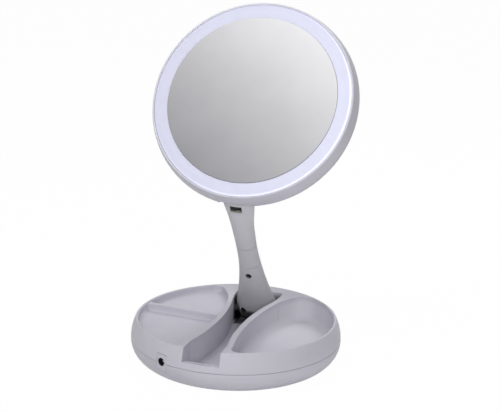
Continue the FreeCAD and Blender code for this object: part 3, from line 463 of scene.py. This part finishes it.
class MIRROR_OT_light_ring(bpy.types.Operator):
    """Make the milky ring shine, with its board and light chips behind it"""
    bl_idname = "mirror.light_ring"
    bl_label = "Light Ring"

    def execute(self, context):
        look = finishes()
        milk = Surface("milky_ring")
        across = milk.along(FACE_MIDDLE, RIGHT)
        up = milk.along(FACE_MIDDLE, FACE_UP)
        reach = milk.distance(across, up)
        cloud = milk.noise(9 * MILLIMETRE)
        milk.link(milk.ramp(cloud, (0.3, tinted(look.ring, 0.98)), (0.7, tinted(look.ring, 1.02))),
                  milk.shader.inputs["Base Color"])
        # Brighter line at the ring's outer edge: glow through the edge with a painted highlight, strongest at
        # the lower right and gone at the upper left.
        line_start = RING_RADIUS - 1.4 * look.ring_edge
        line_full = RING_RADIUS - 0.6 * look.ring_edge
        line = milk.spread(reach, 0.0, 1.5, line_start, line_full)
        lower_right = milk.maths("SUBTRACT", across, up)
        side = milk.spread(lower_right, 0.0, 1.0, -0.8 * RING_RADIUS, 0.8 * RING_RADIUS)
        edge = milk.maths("ADD", milk.maths("MULTIPLY", line, side), 1.0)
        slant = milk.along(FACE_MIDDLE, RIGHT + 0.25 * FACE_UP)
        even = milk.spread(slant, 0.68, 1.20, -RING_RADIUS, RING_RADIUS)
        milk.link(milk.maths("MULTIPLY", milk.maths("MULTIPLY", edge, even), look.ring_glow),
                  milk.shader.inputs["Emission Strength"])
        milk.constant(Emission_Color=(*look.ring_light, 1), IOR=1.49, Specular_IOR_Level=0.25)
        milk.link(milk.spread(cloud, 0.28, 0.36), milk.shader.inputs["Roughness"])
        milk.bump((milk.noise(6 * MILLIMETRE, detail=1.0), 0.006 * MILLIMETRE))
        dress(milk.material, "light_diffuser")
        board = moulded_plastic("white_light_board", look.light_board, 0.4)
        dress(board.material, "led_board")
        chip = moulded_plastic("light_chip", look.chip, 0.3, grain=0.2 * MILLIMETRE)
        dress(chip.material, "leds")
        return {"FINISHED"}


class MIRROR_OT_fittings(bpy.types.Operator):
    """Finish the pins, screws, washers, swivel tube and rubber feet"""
    bl_idname = "mirror.fittings"
    bl_label = "Fittings"

    def execute(self, context):
        look = finishes()
        steel = turned_metal("turned_steel", look.steel, 0.28)
        dress(steel.material, "base_screws", "base_hinge_pin", "swivel_tube", "head_screws", "head_hinge_pin")
        # Painted shade: near-black screws deep in the arm's holes.
        black = moulded_plastic("blackened_steel", look.screw_hole_shade, 0.5)
        black.constant(Specular_IOR_Level=0.1)
        dress(black.material, "lower_arm_screws")
        plated = turned_metal("nickel_plate", tinted(look.steel, 1.15), 0.22)
        dress(plated.material, "battery_contacts")
        nylon = moulded_plastic("washer_nylon", look.nylon, 0.45)
        dress(nylon.material, "base_hinge_washers", "head_hinge_washers")
        rubber = moulded_plastic("foot_rubber", look.rubber, 0.75, grain=0.5 * MILLIMETRE,
                                 edge=0.3 * MILLIMETRE)
        dress(rubber.material, "base_feet")
        return {"FINISHED"}


class MIRROR_OT_power(bpy.types.Operator):
    """Finish the power inlet, the cells and the control board"""
    bl_idname = "mirror.power"
    bl_label = "Power Parts"

    def execute(self, context):
        look = finishes()
        black = moulded_plastic("inlet_plastic", look.dark, 0.4)
        mix_in(black, near_inlet_axis(black, INLET_PIN_RADIUS), look.steel)
        dress(black.material, "dc_jack")
        wrap = moulded_plastic("cell_wrap", look.cell, 0.3)
        dress(wrap.material, "battery_cells")
        mask = moulded_plastic("board_mask", look.board, 0.35)
        dress(mask.material, "control_board")
        return {"FINISHED"}


class MIRROR_OT_switch(bpy.types.Operator):
    """Finish the slide switch in the neck"""
    bl_idname = "mirror.switch"
    bl_label = "Switch"

    def execute(self, context):
        look = finishes()
        black = moulded_plastic("switch_body_plastic", look.dark, 0.45)
        dress(black.material, "switch_body")
        olive = moulded_plastic("switch_knob_plastic", look.knob, 0.42, edge=0.15 * MILLIMETRE)
        dress(olive.material, "switch_knob")
        return {"FINISHED"}


def white_to_camera(tree):
    """1 for what the camera sees straight, mirrored or through glass."""
    path = tree.nodes.new("ShaderNodeLightPath")
    total = path.outputs["Is Camera Ray"]
    for name in ("Is Glossy Ray", "Is Transmission Ray"):
        made = tree.nodes.new("ShaderNodeMath")
        made.operation = "MAXIMUM"
        tree.links.new(total, made.inputs[0])
        tree.links.new(path.outputs[name], made.inputs[1])
        total = made.outputs["Value"]
    return total


def make_floor():
    """Wide pale floor, white in the picture apart from the mirror's soft shadow."""
    half = FLOOR_HALF
    corners = [(-half, -half, 0), (half, -half, 0), (half, half, 0), (-half, half, 0)]
    mesh = bpy.data.meshes.new("floor")
    mesh.from_pydata(corners, [], [(0, 1, 2, 3)])
    floor = bpy.data.objects.new("floor", mesh)
    bpy.context.scene.collection.objects.link(floor)
    material = bpy.data.materials.new("pale_floor")
    material.use_nodes = True
    tree = material.node_tree
    tree.nodes.clear()
    matt = tree.nodes.new("ShaderNodeBsdfDiffuse")
    matt.inputs["Color"].default_value = (*studio().floor, 1)
    white = tree.nodes.new("ShaderNodeEmission")
    white.inputs["Color"].default_value = (1, 1, 1, 1)
    mix = tree.nodes.new("ShaderNodeMixShader")
    weigh = tree.nodes.new("ShaderNodeMath")
    weigh.operation = "MULTIPLY"
    weigh.inputs[1].default_value = studio().floor_white
    tree.links.new(white_to_camera(tree), weigh.inputs[0])
    tree.links.new(weigh.outputs["Value"], mix.inputs["Fac"])
    tree.links.new(matt.outputs["BSDF"], mix.inputs[1])
    tree.links.new(white.outputs["Emission"], mix.inputs[2])
    out = tree.nodes.new("ShaderNodeOutputMaterial")
    tree.links.new(mix.outputs["Shader"], out.inputs["Surface"])
    mesh.materials.append(material)


def make_sky():
    """Even studio light all round, seen as white."""
    world = bpy.data.worlds.new("studio")
    bpy.context.scene.world = world
    world.use_nodes = True
    tree = world.node_tree
    tree.nodes.clear()
    light = tree.nodes.new("ShaderNodeBackground")
    light.inputs["Strength"].default_value = studio().sky
    white = tree.nodes.new("ShaderNodeBackground")
    for shade in (light, white):
        shade.inputs["Color"].default_value = (1, 1, 1, 1)
    mix = tree.nodes.new("ShaderNodeMixShader")
    tree.links.new(white_to_camera(tree), mix.inputs["Fac"])
    tree.links.new(light.outputs["Background"], mix.inputs[1])
    tree.links.new(white.outputs["Background"], mix.inputs[2])
    out = tree.nodes.new("ShaderNodeOutputWorld")
    tree.links.new(mix.outputs["Shader"], out.inputs["Surface"])


def make_lamp(name, watts, place):
    """Large soft disc lamp that isn't mirrored in the glass."""
    lamp = bpy.data.lights.new(name, "AREA")
    lamp.energy = watts
    lamp.shape = "DISK"
    lamp.size = LAMP_SIZE
    made = bpy.data.objects.new(name, lamp)
    made.location = place
    made.rotation_mode = "QUATERNION"
    made.rotation_quaternion = (Vector(LAMP_AIM) - Vector(place)).to_track_quat("-Z", "Y")
    made.visible_glossy = False
    bpy.context.scene.collection.objects.link(made)


def make_camera():
    """Camera at the photo's angle."""
    view = studio()
    flat = math.cos(view.view_up)
    back = Vector((math.sin(view.view_round) * flat, -math.cos(view.view_round) * flat,
                   math.sin(view.view_up)))
    camera = bpy.data.cameras.new("camera")
    camera.sensor_width = 36.0
    camera.lens = view.lens
    made = bpy.data.objects.new("camera", camera)
    turn = (-back).to_track_quat("-Z", "Y").to_matrix() @ Matrix.Rotation(view.view_roll, 3, "Z")
    made.rotation_mode = "QUATERNION"
    made.rotation_quaternion = turn.to_quaternion()
    made.location = Vector(view.look_at) + back * view.view_far
    bpy.context.scene.collection.objects.link(made)
    bpy.context.scene.camera = made


class MIRROR_OT_stage(bpy.types.Operator):
    """Set up floor, even light, lamps and camera"""
    bl_idname = "mirror.stage"
    bl_label = "Studio"

    def execute(self, context):
        view = studio()
        make_floor()
        make_sky()
        for name, place in LAMP_PLACES.items():
            make_lamp(name + "_lamp", getattr(view, name), place)
        make_camera()
        context.scene.view_settings.view_transform = "Standard"
        return {"FINISHED"}


OPERATORS = (MIRROR_OT_shells, MIRROR_OT_glasses, MIRROR_OT_light_ring, MIRROR_OT_fittings, MIRROR_OT_power,
             MIRROR_OT_switch, MIRROR_OT_stage)


class MIRROR_PT_panel(bpy.types.Panel):
    """Sidebar list of the mirror's pieces and studio"""
    bl_idname = "MIRROR_PT_panel"
    bl_label = "Lighted Mirror"
    bl_space_type = "VIEW_3D"
    bl_region_type = "UI"
    bl_category = "Mirror"

    def draw(self, context):
        for operator in OPERATORS:
            self.layout.operator(operator.bl_idname)
        for group in (finishes(), studio()):
            box = self.layout.box()
            for name in group.bl_rna.properties.keys():
                if name not in ("rna_type", "name"):
                    box.prop(group, name)


CLASSES = (MirrorFinishes, MirrorStudio, *OPERATORS, MIRROR_PT_panel)


def register():
    for one in CLASSES:
        bpy.utils.register_class(one)
    bpy.types.Scene.mirror_finishes = PointerProperty(type=MirrorFinishes)
    bpy.types.Scene.mirror_studio = PointerProperty(type=MirrorStudio)


def unregister():
    del bpy.types.Scene.mirror_studio
    del bpy.types.Scene.mirror_finishes
    for one in reversed(CLASSES):
        bpy.utils.unregister_class(one)


def main():
    register()
    bpy.ops.mirror.stage()
    bpy.ops.mirror.shells()
    bpy.ops.mirror.glasses()
    bpy.ops.mirror.light_ring()
    bpy.ops.mirror.fittings()
    bpy.ops.mirror.power()
    bpy.ops.mirror.switch()


if __name__ == "__main__":
    main()
